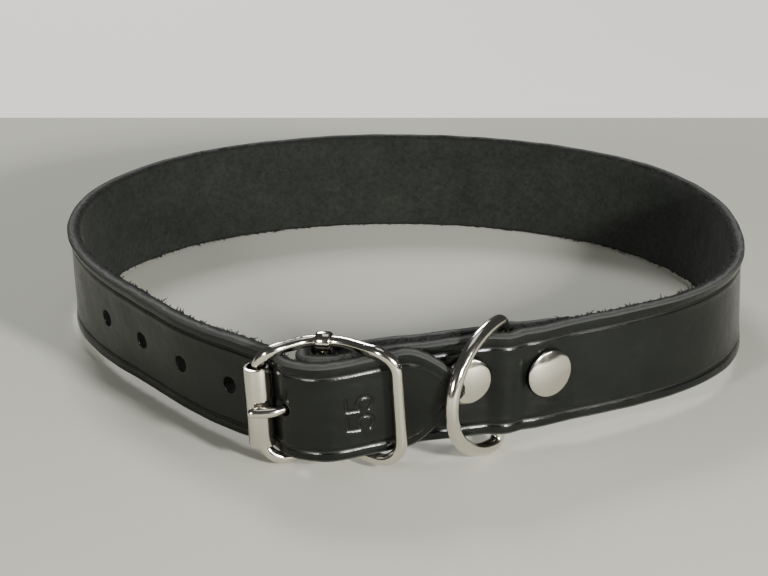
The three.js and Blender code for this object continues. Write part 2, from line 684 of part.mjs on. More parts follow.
const collar = new THREE.Group();
collar.add(
  makeStrap(), makeFrame(), makeCentreBar(), makeRoller(), makeProng(), makeRing(),
  ...Object.keys(RIVET_PLACES).map(makeRivet),
);
standUp(collar);
const model = new THREE.Group();
model.add(collar);

export default model;
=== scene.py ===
"""Dog collar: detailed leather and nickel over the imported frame, with floor, lights and camera."""

import math

import bpy
import numpy as np
from mathutils import Matrix, Vector


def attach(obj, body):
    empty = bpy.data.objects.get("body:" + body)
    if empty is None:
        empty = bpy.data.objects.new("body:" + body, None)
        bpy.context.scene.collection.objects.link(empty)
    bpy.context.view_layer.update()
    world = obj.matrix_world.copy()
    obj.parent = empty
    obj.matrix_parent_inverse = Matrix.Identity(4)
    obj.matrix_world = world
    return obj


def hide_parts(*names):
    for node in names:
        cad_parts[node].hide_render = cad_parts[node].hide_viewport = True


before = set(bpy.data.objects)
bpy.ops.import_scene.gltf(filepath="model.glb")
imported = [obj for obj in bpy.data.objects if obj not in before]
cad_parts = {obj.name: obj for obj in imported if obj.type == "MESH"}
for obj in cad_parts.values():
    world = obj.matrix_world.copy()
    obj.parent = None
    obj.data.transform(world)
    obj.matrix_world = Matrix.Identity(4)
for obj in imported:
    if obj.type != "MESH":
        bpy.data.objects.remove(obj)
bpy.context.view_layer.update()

# Sizes repeated from the CAD source, in millimetres
STRAP_WIDTH = 25
LEATHER = 3.3
NECK_GIRTH = 487
FREE_END = 28
FREE_UNDER_ROLLER = 5.8
POINT_LENGTH = 12
FREE_LIFTS = 62
FREE_RISES = 38
FREE_BOW = 2
FREE_SKEW = 2.4
TAIL_LENGTH = 57
FOLD_SLACK = 1.8
FOLD_WIDTH = 22.8
BUCKLED_WIDTH = 24.4
BASE_CLOSES = 13.5
SKIVE_LENGTH = 11
SKIVED_END = 1.2
BASE_SETTLES = 22
FLARE_FADES = 40
TOP_FLARE = 1.0
LOWER_FLARE = 0.3
HOLE_COUNT = 5
HOLE_SPACING = 16.3
HOLE_DIAMETER = 4
USED_HOLE = -7.4
WIRE = 2.9
ROLLER_BAR = -14.9
FAR_BAR = 18
FRAME_CORNER = 5.5
SIDE_CLEARANCE = 0.3
ROLLER_LENGTH = 20
ROLLER_DIAMETER = 6.2
ROLLER_WALL = 0.7
EYELET_WALL = 0.7
EYELET_LENGTH = 3.6
RAIL_FLAT = 2.2
PRONG_WIRE = 2.4
PRONG_REACH = 1.6
SLOT_WIDTH = 3.6
RING_PLACE = 39.2
RING_WIRE = 3.3
RING_INNER_HEIGHT = 28
RING_DROP = 0.9
RING_SINK = 0.6
RING_DEPTH = 20.5
RING_CORNER = 2.2
RING_LEAN = 54
RIVET_PLACES = {"rivet_front": 29.6, "rivet_rear": 49.8}
RIVET_ACROSS = {"rivet_front": 2.2, "rivet_rear": 1.2}
RIVET_CAP = 11.7
RIVET_DOME = 1.5
RIVET_RIM = 0.7
RIVET_SHANK = 3.6
RIVET_BACK = 9
RIVET_BACK_THICKNESS = 0.9
GAP = 0.3
BAR_GAP = 1
RUNNING_GAP = 0.3
BUCKLE_TURN = -102

# The loop's inner line: direction, reach, outward lean of the upper edge, and lift
NECK_SHAPE = [
    (-180, 1.02, 3, 0), (-160, 0.96, 6, 0), (-140, 0.92, 9, -0.6), (-120, 0.93, 6, -1.3),
    (-100, 0.957, 4, -0.8), (-80, 0.92, 3, 0.7), (-60, 0.922, 0, 0.1), (-40, 1.005, -1, -0.3),
    (-20, 1.09, -1, -0.2), (0, 1.07, 0, 0), (20, 1.07, 3, 0), (40, 1.05, 3, 0), (60, 1.0, 2, 0),
    (80, 0.97, 2, 0), (100, 0.97, 2, 0), (120, 1.0, 3, 0), (140, 1.04, 3, 0), (160, 1.05, 3, 0),
]

# How the whole collar is turned about X and shifted to stand on its lower edge
STAND_TURN = -0.03394584565725585
STAND_SHIFT = (-1.5977973937988281, 3.7511154263101076, 2.717737807432554)


def spline_basis(f, kind):
    """Weights of the uniform cubic B-spline, or of its slope, for the four rows round f."""
    g = 1 - f
    if kind == "value":
        return np.stack([g**3 / 6, (3 * f**3 - 6 * f**2 + 4) / 6, (3 * g**3 - 6 * g**2 + 4) / 6, f**3 / 6])
    return np.stack([-(g**2) / 2, (3 * f**2 - 4 * f) / 2, -(3 * g**2 - 4 * g) / 2, f**2 / 2])


def unit(vectors):
    return vectors / np.linalg.norm(vectors, axis=1)[:, None]


class NeckLine:
    """Closed curve of the loop's inner face, read by length from the centre bar."""

    steps = 720

    def __init__(self):
        through = np.array([
            (
                reach * math.cos(math.radians(turn)),
                reach * math.sin(math.radians(turn)),
                math.radians(lean),
                lift,
            )
            for turn, reach, lean, lift in NECK_SHAPE
        ])
        self.count = len(through)
        self.controls = (8 * through - np.roll(through, 1, 0) - np.roll(through, -1, 0)) / 6
        points = self.blend(np.arange(self.steps + 1) * self.count / self.steps, "value")[:, :2]
        lengths = np.hypot(*np.diff(points, axis=0).T)
        self.lengths = np.concatenate([[0], np.cumsum(lengths)])
        self.scale = NECK_GIRTH / self.lengths[-1]
        start = (BUCKLE_TURN - NECK_SHAPE[0][0]) / 360 * self.steps
        self.start = np.interp(start, np.arange(self.steps + 1), self.lengths)

    def blend(self, t, kind):
        first = np.floor(t).astype(int)
        weights = spline_basis(t - first, kind)
        rows = [self.controls[(first + k - 1) % self.count] for k in range(4)]
        return sum(weights[k][:, None] * rows[k] for k in range(4))

    def frames(self, along):
        """Origin, forward, out and up for each length along the neck line."""
        along = np.atleast_1d(np.asarray(along, float))
        target = (self.start + along / self.scale) % self.lengths[-1]
        index = np.interp(target, self.lengths, np.arange(self.steps + 1))
        t = index * self.count / self.steps
        x, y, lean, lift = self.blend(t, "value").T
        dx, dy, _, dlift = self.blend(t, "slope").T
        zero = np.zeros_like(x)
        forward = unit(np.stack([dx * self.scale, dy * self.scale, dlift], 1))
        flat = unit(np.stack([dy, -dx, zero], 1))
        upright = np.cross(flat, forward)
        out = flat * np.cos(lean)[:, None] - np.sin(lean)[:, None] * upright
        up = flat * np.sin(lean)[:, None] + np.cos(lean)[:, None] * upright
        origin = np.stack([x * self.scale, y * self.scale, STRAP_WIDTH / 2 + lift], 1)
        return origin, forward, out, up


NECK = NeckLine()


def place(along, height, across=0.0, step=0.0):
    """Points by length along the neck line, height over it and place across the strap."""
    origin, forward, out, up = NECK.frames(along)
    parts = [np.broadcast_to(np.asarray(v, float), (len(origin),))[:, None] for v in (height, across, step)]
    return origin + out * parts[0] + up * parts[1] + forward * parts[2]


BUCKLE = [v[0] for v in NECK.frames(0)]


def in_buckle(points):
    """Points of the buckle's own frame: along it, across it and out."""
    origin, forward, out, up = BUCKLE
    points = np.atleast_2d(np.asarray(points, float))
    return origin + points[:, :1] * forward + points[:, 1:2] * up + points[:, 2:3] * out


def neck_place_of(along, height):
    """Neck line place of a point given by its true distance along the buckle."""
    origin, forward, _, _ = BUCKLE
    guess = along
    for _ in range(12):
        guess += along - float((place(guess, height)[0] - origin) @ forward)
    return guess


def buckle_out(along, height):
    origin, _, out, _ = BUCKLE
    return float((place(along, height)[0] - origin) @ out)


def smooth_profile(*rows):
    """Smooth curve through rows of (place, height) that never overshoots them."""
    at = np.array([row[0] for row in rows], float)
    height = np.array([row[1] for row in rows], float)
    secant = np.diff(height) / np.diff(at)
    slope = np.zeros(len(rows))
    for i in range(1, len(rows) - 1):
        before, after = secant[i - 1], secant[i]
        if before * after > 0:
            slope[i] = 2 * before * after / (before + after)

    def curve(x):
        x = np.clip(np.asarray(x, float), at[0], at[-1])
        i = np.clip(np.searchsorted(at, x, side="right") - 1, 0, len(at) - 2)
        span = at[i + 1] - at[i]
        t = (x - at[i]) / span
        blend = height[i] + (height[i + 1] - height[i]) * t * t * (3 - 2 * t)
        return blend + span * (slope[i] * t * (1 - t) ** 2 - slope[i + 1] * t**2 * (1 - t))

    return curve


def stand(points):
    """From the collar's own frame in millimetres to the row frame in metres."""
    turn = np.array(Matrix.Rotation(STAND_TURN, 3, "X"))
    return (np.atleast_2d(points) @ turn.T + np.array(STAND_SHIFT)) * 0.001


# Heights of the stack over the neck line
BAR_HEIGHT = LEATHER + RUNNING_GAP + WIRE / 2
BASE_AT_BAR = BAR_HEIGHT + WIRE / 2 + RUNNING_GAP
BASE_ON_TAIL = LEATHER + GAP
FREE_AT_BAR = BASE_AT_BAR + LEATHER + GAP
FREE_ON_BASE = BASE_ON_TAIL + LEATHER + GAP
ROLLER_HEIGHT = FREE_UNDER_ROLLER + LEATHER + BAR_GAP + ROLLER_DIAMETER / 2
ROLLER_PLACE = neck_place_of(ROLLER_BAR, ROLLER_HEIGHT)
FAR_BAR_HEIGHT = FREE_ON_BASE + LEATHER + BAR_GAP + WIRE / 2
FAR_BAR_PLACE = neck_place_of(FAR_BAR, FAR_BAR_HEIGHT)
ROLLER_OUT = buckle_out(ROLLER_PLACE, ROLLER_HEIGHT)
FAR_BAR_OUT = buckle_out(FAR_BAR_PLACE, FAR_BAR_HEIGHT)
FOLD_INNER = WIRE / 2 + RUNNING_GAP
FOLD_OUTER = FOLD_INNER + LEATHER
RING_HEIGHT = LEATHER + GAP / 2 - RING_SINK
RING_BULGE = RING_WIRE / 2 + GAP
BULGE_REACH = 1.5 * RING_WIRE


def ring_bulge(along):
    offset = np.asarray(along, float) - RING_PLACE
    return np.where(np.abs(offset) >= BULGE_REACH, 0, (1 + np.cos(np.pi * offset / BULGE_REACH)) / 2)


closing = smooth_profile(
    (0, BASE_AT_BAR),
    (FOLD_OUTER, BASE_AT_BAR - 0.42 * (BASE_AT_BAR - BASE_ON_TAIL)),
    (BASE_CLOSES, BASE_ON_TAIL),
)
leaving_tail = smooth_profile(
    (TAIL_LENGTH - SKIVE_LENGTH, BASE_ON_TAIL),
    (TAIL_LENGTH + 0.5, SKIVED_END + GAP),
    (TAIL_LENGTH + BASE_SETTLES, 0),
)
free_before_bar = smooth_profile(
    (-FREE_LIFTS, 0),
    (-FREE_RISES, 0.35 * FREE_UNDER_ROLLER),
    (ROLLER_PLACE, FREE_UNDER_ROLLER),
    (-FOLD_OUTER, 0.92 * (FREE_AT_BAR + FREE_BOW)),
    (0, FREE_AT_BAR + FREE_BOW),
)
bow_after_bar = smooth_profile((0, FREE_BOW), (FAR_BAR_PLACE - WIRE, 0))
skew = smooth_profile((0.65 * FAR_BAR_PLACE, 0), (FREE_END, FREE_SKEW))
lift_over_cap = smooth_profile(
    (FAR_BAR_PLACE, 0),
    (RIVET_PLACES["rivet_front"] - 0.5 * RIVET_CAP, GAP + RIVET_RIM + GAP),
    (RIVET_PLACES["rivet_front"], GAP + RIVET_DOME + GAP),
)


def base_height(along):
    rise = (RING_BULGE - RING_SINK) * ring_bulge(along)
    return closing(along) + leaving_tail(along) - BASE_ON_TAIL + rise


def tail_height(along):
    return -(RING_BULGE + RING_SINK) * ring_bulge(along)


def base_top(along):
    return base_height(along) + LEATHER


def free_height(along):
    along = np.asarray(along, float)
    after = closing(along) + LEATHER + GAP + bow_after_bar(along) + lift_over_cap(along)
    return np.where(along < 0, free_before_bar(along), after)


SHOULDER = NECK_GIRTH + FREE_END - POINT_LENGTH


def free_width(along):
    drawn = smooth_profile(
        (NECK_GIRTH + ROLLER_PLACE - 3 * WIRE, 1),
        (NECK_GIRTH + ROLLER_PLACE - WIRE / 2, BUCKLED_WIDTH / STRAP_WIDTH),
    )
    share = np.clip((along - SHOULDER) / POINT_LENGTH, 0, 1)
    return drawn(along) * (1 - 0.92 * share**1.6)


LOOP_END = NECK_GIRTH - FREE_LIFTS - 0.7 * FLARE_FADES


class StrapLine:
    """The strap's middle line from the end of its tail to its tip, with the frames on it."""

    def __init__(self):
        keys = ("middle", "grain", "up", "thick", "flare", "width", "shift", "along")
        self.rows = {key: [] for key in keys}
        trim = smooth_profile((0, FOLD_WIDTH / STRAP_WIDTH), (BASE_CLOSES, 1))

        def lifted(along):
            room = np.minimum(LEATHER, leaving_tail(along) - GAP)
            return room * (1 - feather(along))

        flare_in = smooth_profile((TAIL_LENGTH, 0), (TAIL_LENGTH + FLARE_FADES, 1))
        flare_out = smooth_profile((LOOP_END, 1), (NECK_GIRTH - FREE_RISES, 0))

        tail = np.arange(TAIL_LENGTH, 0, -0.4)
        feather = smooth_profile((TAIL_LENGTH - 6, 1), (TAIL_LENGTH, 0.3))
        thick = np.minimum(LEATHER, leaving_tail(tail) - GAP) * feather(tail)
        self.add(tail, lambda a: tail_height(a) + lifted(a), thick, -1, 0, trim(tail), 0)

        turn = np.pi * np.linspace(0, 1, 40) - np.pi / 2
        radius = FOLD_INNER + LEATHER / 2
        _, forward, out, up = (v[0] for v in NECK.frames(0))
        grain = -np.cos(turn)[:, None] * forward + np.sin(turn)[:, None] * out
        middle = place(0, BAR_HEIGHT) + radius * grain - FOLD_SLACK * forward
        self.store(middle, grain, np.tile(up, (40, 1)), LEATHER, 0, trim(0), 0, 0)

        base = np.arange(0.4, LOOP_END, 0.4)
        self.add(base, base_height, LEATHER, 1, flare_in(base), trim(base), 0)
        last = np.linspace(LOOP_END, NECK_GIRTH + FREE_END, 300)
        shift = skew(last - NECK_GIRTH)
        self.add(
            last,
            lambda a: free_height(a - NECK_GIRTH),
            LEATHER,
            1,
            flare_out(last),
            free_width(last),
            shift,
        )

        self.rows = {key: np.concatenate(rows) for key, rows in self.rows.items()}
        steps = np.linalg.norm(np.diff(self.rows["middle"], axis=0), axis=1)
        self.run = np.concatenate([[0], np.cumsum(steps)])
        self.length = self.run[-1]
        self.first_base = len(tail) + 40

    def add(self, along, height, thick, side, flare, width, shift):
        slope = (height(along + 0.2) - height(along - 0.2)) / 0.4
        size = np.hypot(1, slope)[:, None]
        _, forward, out, up = NECK.frames(along)
        grain = side * (out - slope[:, None] * forward) / size
        self.store(place(along, height(along) + thick / 2), grain, up, thick, flare, width, shift, along)

    def store(self, middle, grain, up, *values):
        self.rows["middle"].append(middle)
        self.rows["grain"].append(grain)
        self.rows["up"].append(up)
        for key, value in zip(("thick", "flare", "width", "shift", "along"), values):
            self.rows[key].append(np.broadcast_to(np.asarray(value, float), (len(middle),)))

    def at(self, key, run):
        values = self.rows[key]
        if values.ndim == 1:
            return np.interp(run, self.run, values)
        return np.stack([np.interp(run, self.run, values[:, k]) for k in range(3)], 1)

    def run_of(self, along):
        """Run of a place on the base or the free end."""
        return float(np.interp(along, self.rows["along"][self.first_base:], self.run[self.first_base:]))

    def run_of_tail(self, along):
        """Run of a place on the folded-back tail."""
        last = self.first_base - 40
        return float(np.interp(-along, -self.rows["along"][:last], self.run[:last]))


LINE = StrapLine()
PATCH = 4.8
STAMP_RUN = LINE.run_of(NECK_GIRTH + 6.4)
DIGIT_PLACES = (-5.3, -0.3)  # lower ends of the two digits, across the strap
DIGIT_SCALE = 0.92
STROKE_WIDTH = 0.33
CREASE_INSET = 2.8  # from the cut edge
CREASE_WIDTH = 0.36
TRUE_MARGIN = 4  # nearer to the edge than this, the relief keeps its distance from it


def digit_strokes():
    """Strokes of a plain 5, four wide and seven high, as lines of points."""
    bowl = [(2.0 + 1.9 * math.cos(a), 2.1 + 2.0 * math.sin(a)) for a in np.radians(np.arange(140, -151, -10))]
    return [[(3.7, 7), (0.5, 7), (0.3, 3.6)], [(0.3, 3.6)] + bowl]


def stroke_distance(x, y, lines):
    nearest = np.full(x.shape, 99.0)
    for line in lines:
        for (x0, y0), (x1, y1) in zip(line, line[1:]):
            dx, dy = x1 - x0, y1 - y0
            t = np.clip(((x - x0) * dx + (y - y0) * dy) / (dx * dx + dy * dy), 0, 1)
            nearest = np.minimum(nearest, np.hypot(x - x0 - t * dx, y - y0 - t * dy))
    return nearest


def waves(run, across, seed, sizes):
    """Gentle unevenness: a sum of plane waves of the given lengths, about -1 to 1."""
    rng = np.random.default_rng(seed)
    total = np.zeros_like(run)
    for size in sizes:
        for _ in range(4):
            turn, phase = rng.uniform(0, 2 * np.pi, 2)
            total += np.sin(2 * np.pi / size * (run * np.cos(turn) + across * np.sin(turn)) + phase)
    return total / (4 * len(sizes)) * 1.6


def edge_distance(across):
    """How far a point lies in from the nearer edge of the strap."""
    return STRAP_WIDTH / 2 - np.abs(across)


def stamp_depth(run, across):
    """How deep the stamped digits, which stand across the strap, are pressed in: 0 to 1."""
    digits = digit_strokes()
    depth = np.zeros_like(run)
    for low in DIGIT_PLACES:
        high = (STAMP_RUN - run) / DIGIT_SCALE + 3.5
        nearest = stroke_distance((across - low) / DIGIT_SCALE, high, digits)
        depth = np.maximum(depth, np.exp(-((nearest / STROKE_WIDTH) ** 2)))
    return depth


def crease_depth(run, across):
    """How deep the line along each edge is creased, up to where the point cuts it off: 0 to 1."""
    before_point = np.clip((LINE.length - POINT_LENGTH + 4 - run) / 3, 0, 1)
    return before_point * np.exp(-(((edge_distance(across) - CREASE_INSET) / CREASE_WIDTH) ** 2))


def grain_relief(run, across):
    """Height of the grain side's relief in millimetres."""
    inward = edge_distance(across)
    relief = -0.34 * crease_depth(run, across)
    relief += 0.10 * np.exp(-(((inward - 3.7) / 0.5) ** 2))
    relief += 0.12 * np.clip(1 - ((inward - 1.3) / 1.3) ** 2, 0, None)
    relief += 0.10 * waves(run, across, 3, (11, 17, 29))
    relief += 0.02 * waves(run, across, 5, (2.6, 3.9))

    relief -= 0.42 * stamp_depth(run, across)

    # Dished round the rear rivet, wrinkled past the ring's bulge
    rear = run - LINE.run_of(RIVET_PLACES["rivet_rear"])
    front = run - LINE.run_of(RIVET_PLACES["rivet_front"])
    for offset in (rear, front):
        relief -= 0.35 * np.exp(-((np.hypot(offset, across - 1.5) / 6.6) ** 4))
    behind = rear + 8.2
    fold = np.exp(-((behind / 3.2) ** 2) - ((across + 1) / 6.5) ** 2)
    wander = 0.8 * waves(run, across, 7, (6,))
    relief += 0.10 * fold * np.sin(2 * np.pi * (behind + 0.05 * across) / 1.15 + wander)
    past = rear - 7.5
    fan = np.exp(-((past / 3.6) ** 2) - ((across + 5.6) / 2.4) ** 2)
    relief += 0.11 * fan * np.sin(2 * np.pi * (past * 0.8 + 0.5 * across) / 0.95)
    relief += 0.42 * np.exp(-(((rear - 1.8) / 3.4) ** 2) - ((across + 7.1) / 1.3) ** 2)
    return relief


def flesh_relief(run, across):
    inward = edge_distance(across)
    relief = 0.10 * waves(run, across, 11, (7, 13, 21)) + 0.05 * waves(run, across, 13, (1.7, 2.3, 3.1))
    return relief - 0.25 * np.exp(-((inward / 0.8) ** 2))


def strap_points(run, across, through, top, bottom):
    """Places of strap points: the flat position bent along the strap, with the relief added."""
    half = STRAP_WIDTH / 2 * LINE.at("width", run)
    margin = np.minimum(TRUE_MARGIN, 0.6 * half)
    inward = edge_distance(across)
    side = np.sign(across)
    outer = side * (half - inward * margin / TRUE_MARGIN)
    inner = across * (half - margin) / (STRAP_WIDTH / 2 - TRUE_MARGIN)
    true_across = np.where(inward < TRUE_MARGIN, outer, inner)
    true_across += side * np.exp(-inward / 1.5) * 0.16 * waves(run, side * 40, 17, (9, 14, 37))
    true_across += LINE.at("shift", run)

    bend = 0.3 * STRAP_WIDTH
    curl = np.clip(np.abs(across) - bend, 0, None) / (STRAP_WIDTH / 2 - bend)
    flare = LINE.at("flare", run) * np.where(across > 0, TOP_FLARE, LOWER_FLARE) * curl**2
    height = through * LINE.at("thick", run) / LEATHER + flare
    height += top * grain_relief(run, across) - bottom * flesh_relief(run, across)
    raised = LINE.at("middle", run) + LINE.at("grain", run) * height[:, None]
    return raised + LINE.at("up", run) * true_across[:, None]


class StrapMesh:
    """The strap as a slab on one grid, with the holes and the slot cut out of both its faces."""

    wall_steps = 4

    def __init__(self):
        self.rows = []
        self.faces = []
        self.walls = {}
        self.holes = self.hole_list()
        self.slot = (LINE.run_of_tail(4.75), LINE.run_of(4.75))
        self.runs = self.run_lines()
        self.acrosses, self.drops = self.across_lines()
        self.keep = self.kept_cells()
        self.build()

    def hole_list(self):
        """Rows of middle run, half length of its patch, and each face's two offsets and two radii."""
        used = neck_place_of(USED_HOLE, float(free_height(USED_HOLE)))
        radius = HOLE_DIAMETER / 2
        holes = []
        for i in range(1, HOLE_COUNT):
            run = LINE.run_of(NECK_GIRTH + used - i * HOLE_SPACING)
            holes.append((run, 3.4, (0, 0, radius, radius), (0, 0, radius, radius)))
        run = LINE.run_of(NECK_GIRTH + used)
        holes.append((run, 8.0, (-0.9, 0, 2.4, 1.8), (3.4, 0, 2.9, 2.0)))
        for name, along in RIVET_PLACES.items():
            bore = RIVET_SHANK / 2 + GAP
            shank = (0, RIVET_ACROSS[name], bore, bore)
            holes.append((LINE.run_of(along), 3.4, shank, shank))
            holes.append((LINE.run_of_tail(along), 3.4, shank, shank))
        return sorted(holes)

    def run_lines(self):
        spacing = [
            (0, 1.3),
            (LINE.run_of_tail(8), 0.5),
            (LINE.run_of(8), 1.0),
            (LINE.run_of(36), 0.5),
            (LINE.run_of(66), 1.6),
            (LINE.run_of(LOOP_END), 1.2),
            (LINE.run_of(NECK_GIRTH - 20), 0.7),
            (STAMP_RUN - 4.6, 0.22),
            (STAMP_RUN + 4.6, 0.7),
        ]
        stops = {0.0, LINE.length, *self.slot, *(start for start, _ in spacing)}
        for run, half, _, _ in self.holes:
            stops |= {run - half, run + half}
        stops = sorted(stops)
        lines = []
        for start, end in zip(stops, stops[1:]):
            step = [size for begin, size in spacing if begin <= start + 1e-6][-1]
            lines.extend(np.linspace(start, end, max(2, round((end - start) / step) + 1))[:-1])
        return np.array(lines + [LINE.length])

    def across_lines(self):
        """Lines across the strap, and how far each face drops there towards the cut edge."""
        round_top = 0.6
        edge = STRAP_WIDTH / 2
        turns = np.radians([0, 22.5, 45, 67.5, 90])
        rim = [(edge - round_top + round_top * math.sin(t), round_top * (1 - math.cos(t))) for t in turns]
        stops = [0, SLOT_WIDTH / 2, PATCH, 5.4, 8.4, 10.6, edge - round_top]
        sizes = [0.3, 0.3, 0.3, 0.75, 0.36, 0.3]
        half = []
        for start, end, size in zip(stops, stops[1:], sizes):
            count = max(2, round((end - start) / size) + 1)
            half.extend((x, 0.0) for x in np.linspace(start, end, count)[:-1])
        half += rim
        rows = [(-x, d) for x, d in reversed(half[1:])] + half
        return np.array([x for x, _ in rows]), np.array([d for _, d in rows])

    def kept_cells(self):
        middle_run = (self.runs[:-1] + self.runs[1:]) / 2
        middle_across = (self.acrosses[:-1] + self.acrosses[1:]) / 2
        run, across = np.meshgrid(middle_run, middle_across, indexing="ij")
        keep = np.ones(run.shape, bool)
        keep[(run > self.slot[0]) & (run < self.slot[1]) & (np.abs(across) < SLOT_WIDTH / 2)] = False
        for hole_run, half, _, _ in self.holes:
            keep[(np.abs(run - hole_run) < half) & (np.abs(across) < PATCH)] = False
        return keep

    def vertex(self, run, across, through, top=0.0, bottom=0.0):
        self.rows.append((run, across, through, top, bottom))
        return len(self.rows) - 1

    def wall(self, key, upper, lower):
        """Vertices from the grain face down to the flesh face."""
        if key not in self.walls:
            a, b = np.array(self.rows[upper][:3]), np.array(self.rows[lower][:3])
            inner = []
            for k in range(1, self.wall_steps + 1):
                t = k / (self.wall_steps + 1)
                inner.append(self.vertex(*(a + (b - a) * t)))
            self.walls[key] = [upper, *inner, lower]
        return self.walls[key]

    def wall_faces(self, first, second):
        for k in range(len(first) - 1):
            self.faces.append((first[k], first[k + 1], second[k + 1], second[k]))

    def build(self):
        thick = LEATHER / 2
        rows, columns = len(self.runs), len(self.acrosses)
        top = np.full((rows, columns), -1)
        bottom = np.full((rows, columns), -1)
        used = np.zeros((rows, columns), bool)
        for di in (0, 1):
            for dj in (0, 1):
                used[di : rows - 1 + di, dj : columns - 1 + dj] |= self.keep
        for hole_run, half, _, _ in self.holes:
            near_run = np.abs(self.runs - hole_run) < half + 1e-6
            used |= near_run[:, None] & (np.abs(np.abs(self.acrosses) - PATCH) < 1e-6)[None, :]
        for i, j in np.argwhere(used):
            run, across, drop = self.runs[i], self.acrosses[j], self.drops[j]
            top[i, j] = self.vertex(run, across, thick - drop, 1.0, 0.0)
            bottom[i, j] = self.vertex(run, across, 0.6 * drop - thick, 0.0, 1.0)
        for i, j in np.argwhere(self.keep):
            self.faces.append((top[i, j], top[i + 1, j], top[i + 1, j + 1], top[i, j + 1]))
            self.faces.append((bottom[i, j], bottom[i, j + 1], bottom[i + 1, j + 1], bottom[i + 1, j]))
        self.boundary_walls(top, bottom)
        for hole in self.holes:
            self.hole_patch(hole, top, bottom)

    def boundary_walls(self, top, bottom):
        rows, columns = self.keep.shape
        in_hole = np.zeros(self.keep.shape, bool)
        middle_run = (self.runs[:-1] + self.runs[1:]) / 2
        middle_across = (self.acrosses[:-1] + self.acrosses[1:]) / 2
        for hole_run, half, _, _ in self.holes:
            near_run = np.abs(middle_run - hole_run) < half
            in_hole |= near_run[:, None] & (np.abs(middle_across) < PATCH)[None, :]

        def solid(i, j):
            if not (0 <= i < rows and 0 <= j < columns):
                return False
            return self.keep[i, j] or in_hole[i, j]

        for i, j in np.argwhere(self.keep):
            sides = [
                ((i - 1, j), (i, j + 1), (i, j)),
                ((i + 1, j), (i + 1, j), (i + 1, j + 1)),
                ((i, j - 1), (i, j), (i + 1, j)),
                ((i, j + 1), (i + 1, j + 1), (i, j + 1)),
            ]
            for other, a, b in sides:
                if solid(*other):
                    continue
                first = self.wall(a, top[a], bottom[a])
                second = self.wall(b, top[b], bottom[b])
                self.wall_faces(first, second)

    def hole_patch(self, hole, top, bottom):
        """Rings from the patch's square border in to the hole, on both faces, and the hole's wall."""
        hole_run, half, upper, lower = hole
        i_range = np.flatnonzero(np.abs(self.runs - hole_run) < half + 1e-6)
        j_range = np.flatnonzero(np.abs(self.acrosses) < PATCH + 1e-6)
        i0, i1, j0, j1 = i_range[0], i_range[-1], j_range[0], j_range[-1]
        border = [(i, j0) for i in range(i0, i1)] + [(i1, j) for j in range(j0, j1)]
        border += [(i, j1) for i in range(i1, i0, -1)] + [(i0, j) for j in range(j1, j0, -1)]
        shares = (0.3, 0.55, 0.75, 0.9, 0.97, 1.0)
        sinks = (0, 0, 0, 0, 0.06, 0.3)
        last = []
        for face, grid, (offset, aside, long, wide) in ((1, top, upper), (-1, bottom, lower)):
            rings = [[grid[i, j] for i, j in border]]
            for share, sink in zip(shares, sinks):
                ring = []
                for i, j in border:
                    run, across = self.runs[i] - hole_run, self.acrosses[j]
                    turn = math.atan2(across / PATCH, run / half)
                    target = (offset + long * math.cos(turn), aside + wide * math.sin(turn))
                    x = run + (target[0] - run) * share
                    y = across + (target[1] - across) * share
                    through = face * (LEATHER / 2 - sink)
                    ring.append(self.vertex(hole_run + x, y, through, float(face > 0), float(face < 0)))
                rings.append(ring)
            for outer, inner in zip(rings, rings[1:]):
                for k in range(len(border)):
                    n = (k + 1) % len(border)
                    quad = (outer[k], outer[n], inner[n], inner[k])
                    self.faces.append(quad if face > 0 else quad[::-1])
            last.append(rings[-1])
        for k in range(len(border)):
            n = (k + 1) % len(border)
            first = self.wall(("hole", hole_run, k), last[0][k], last[1][k])
            second = self.wall(("hole", hole_run, n), last[0][n], last[1][n])
            self.wall_faces(second, first)

    def points(self):
        run, across, through, top, bottom = np.array(self.rows, float).T
        return strap_points(run, across, through, top, bottom), run, across, through


def new_object(name, points, faces, materials, body):
    """A mesh in the row frame from points in the collar's own frame, riding on a body."""
    mesh = bpy.data.meshes.new(name)
    mesh.from_pydata(stand(points).tolist(), [], [tuple(int(v) for v in face) for face in faces])
    for material in materials:
        mesh.materials.append(material)
    mesh.validate()
    mesh.shade_smooth()
    piece = bpy.data.objects.new(name, mesh)
    bpy.context.scene.collection.objects.link(piece)
    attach(piece, body)
    return piece


def tube(path, radius, sides, closed, flatten=None):
    """Points and faces of a round wire along a path, with the section carried without twist."""
    path = np.asarray(path, float)
    if closed:
        tangents = np.roll(path, -1, 0) - np.roll(path, 1, 0)
    else:
        tangents = np.gradient(path, axis=0)
    tangents /= np.linalg.norm(tangents, axis=1)[:, None]
    normal = np.cross(tangents[0], [0.3, 0.2, 1.0])
    radius = np.broadcast_to(np.asarray(radius, float), (len(path),))
    normals = []
    for tangent in tangents:
        normal = normal - tangent * (normal @ tangent)
        normal = normal / np.linalg.norm(normal)
        normals.append(normal)
    normals = np.array(normals)
    sides_across = np.cross(tangents, normals)
    turns = np.arange(sides) * 2 * np.pi / sides
    if closed:
        start = normals[0] - tangents[0] * (normals[0] @ tangents[0])
        end = normals[-1] - tangents[0] * (normals[-1] @ tangents[0])
        twist = math.atan2(np.cross(end, start) @ tangents[0], end @ start)
    else:
        twist = 0
    points = []
    for k, centre in enumerate(path):
        turn = turns + twist * k / len(path)
        ring = np.cos(turn)[:, None] * normals[k] + np.sin(turn)[:, None] * sides_across[k]
        points.append(centre + radius[k] * ring)
    count = len(path)
    faces = []
    for k in range(count if closed else count - 1):
        n = (k + 1) % count
        for m in range(sides):
            o = (m + 1) % sides
            faces.append((k * sides + m, k * sides + o, n * sides + o, n * sides + m))
    points = np.concatenate(points)
    if not closed:
        faces.append(tuple(range(sides))[::-1])
        faces.append(tuple(range((count - 1) * sides, count * sides)))
    return points, faces


